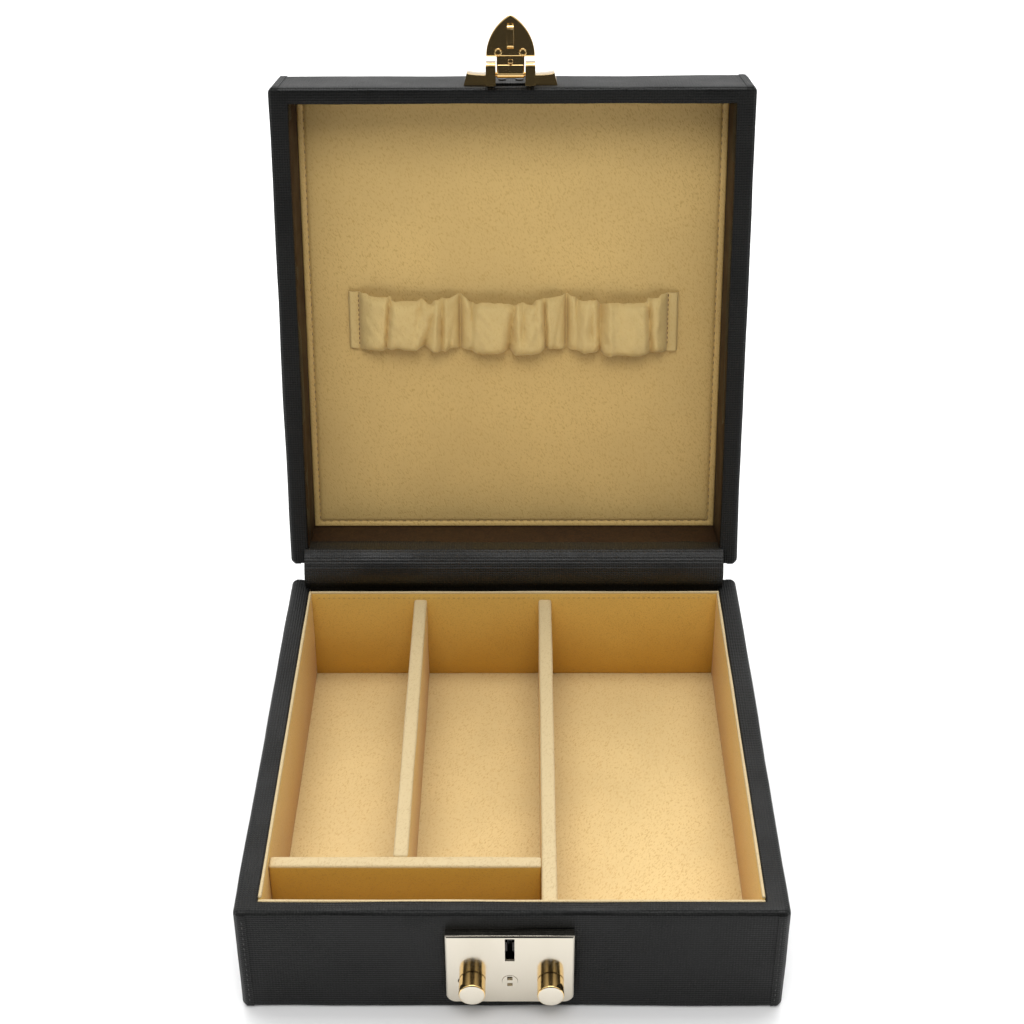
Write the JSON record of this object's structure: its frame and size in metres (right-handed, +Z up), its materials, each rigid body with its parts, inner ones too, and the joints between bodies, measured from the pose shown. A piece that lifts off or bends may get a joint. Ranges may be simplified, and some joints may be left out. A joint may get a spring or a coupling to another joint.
{
  "type": "jewelry box",
  "caption": "Leather-covered jewelry case with a divided beige tray, a deep lid with a ruched loop band, a strip hinge and a hasp lock with sliding knobs.",
  "frame": {"origin": "centre of the base's underside, on the surface that the box stands on", "axes": "+Z up, -Y towards the lock and the user, +X to the user's right"},
  "size_m": [0.18, 0.2644, 0.2625],
  "materials": {
    "board": "raw fibreboard, hidden under the cover",
    "cover_leather": "anthracite leatherette with a fine crossed grain, satin",
    "tray_lining": "beige leatherette with a fine pored grain, soft satin",
    "brown_lining": "dark brown matt lining",
    "gilt_metal": "pale gold plated, mirror polished",
    "plain_steel": "plain zinc-plated steel inside the lock"
  },
  "bodies": {
    "base": {"base_bottom_board": "board", "base_front_board": "board", "base_back_board": "board", "base_left_board": "board", "base_right_board": "board", "base_bottom_leather": "cover_leather", "base_front_leather": "cover_leather", "base_back_leather": "cover_leather", "base_left_leather": "cover_leather", "base_right_leather": "cover_leather", "liner_front": "tray_lining", "liner_back": "tray_lining", "liner_left": "tray_lining", "liner_right": "tray_lining", "floor_card": "tray_lining", "divider_left": "tray_lining", "divider_right": "tray_lining", "divider_cross": "tray_lining", "lock_case": "gilt_metal", "lock_back_plate": "plain_steel", "lock_rivets": "plain_steel", "lock_spring_left": "plain_steel", "lock_spring_right": "plain_steel", "hinge_strip": "cover_leather", "hinge_spine": "cover_leather"},
    "lid": {"lid_top_board": "board", "lid_front_board": "board", "lid_back_board": "board", "lid_left_board": "board", "lid_right_board": "board", "lid_top_leather": "cover_leather", "lid_front_leather": "cover_leather", "lid_back_leather": "cover_leather", "lid_left_leather": "cover_leather", "lid_right_leather": "cover_leather", "lid_lining_front": "brown_lining", "lid_lining_back": "brown_lining", "lid_lining_left": "brown_lining", "lid_lining_right": "brown_lining", "lid_panel": "tray_lining", "jewel_band": "tray_lining", "hasp_bracket": "gilt_metal", "hasp_pin": "gilt_metal", "bracket_rivets": "plain_steel"},
    "hasp": {"hasp_plate": "gilt_metal", "hasp_tooth": "gilt_metal", "hasp_rivets": "gilt_metal"},
    "left_knob": {"knob_left": "gilt_metal", "catch_left": "plain_steel"},
    "right_knob": {"knob_right": "gilt_metal", "catch_right": "plain_steel"},
    "key": {"key_plug": "gilt_metal"}
  },
  "joints": [
    {"name": "lid_hinge", "type": "hinge", "parent": "base", "child": "lid", "pos_m": [0, 0.09708, 0.04807], "axis": [1, 0, 0], "range_deg": [0, 101.19], "deforming": ["hinge_strip", "hinge_spine"]},
    {"name": "hasp_hinge", "type": "hinge", "parent": "lid", "child": "hasp", "pos_m": [-0.0006, 0.13163, 0.24163], "axis": [1, 0, 0], "range_deg": [0, 90]},
    {"name": "left_knob_slide", "type": "slide", "parent": "base", "child": "left_knob", "axis": [-1, 0, 0], "range_m": [0, 0.0026], "stiffness_N_per_m": 150, "springref_m": -0.002, "deforming": ["lock_spring_left"]},
    {"name": "right_knob_slide", "type": "slide", "parent": "base", "child": "right_knob", "axis": [1, 0, 0], "range_m": [0, 0.0026], "stiffness_N_per_m": 150, "springref_m": -0.002, "deforming": ["lock_spring_right"]},
    {"name": "key_turn", "type": "hinge", "parent": "base", "child": "key", "pos_m": [-0.0006, -0.0986, 0.0163], "axis": [0, 1, 0], "range_deg": [0, 90]}
  ]
}
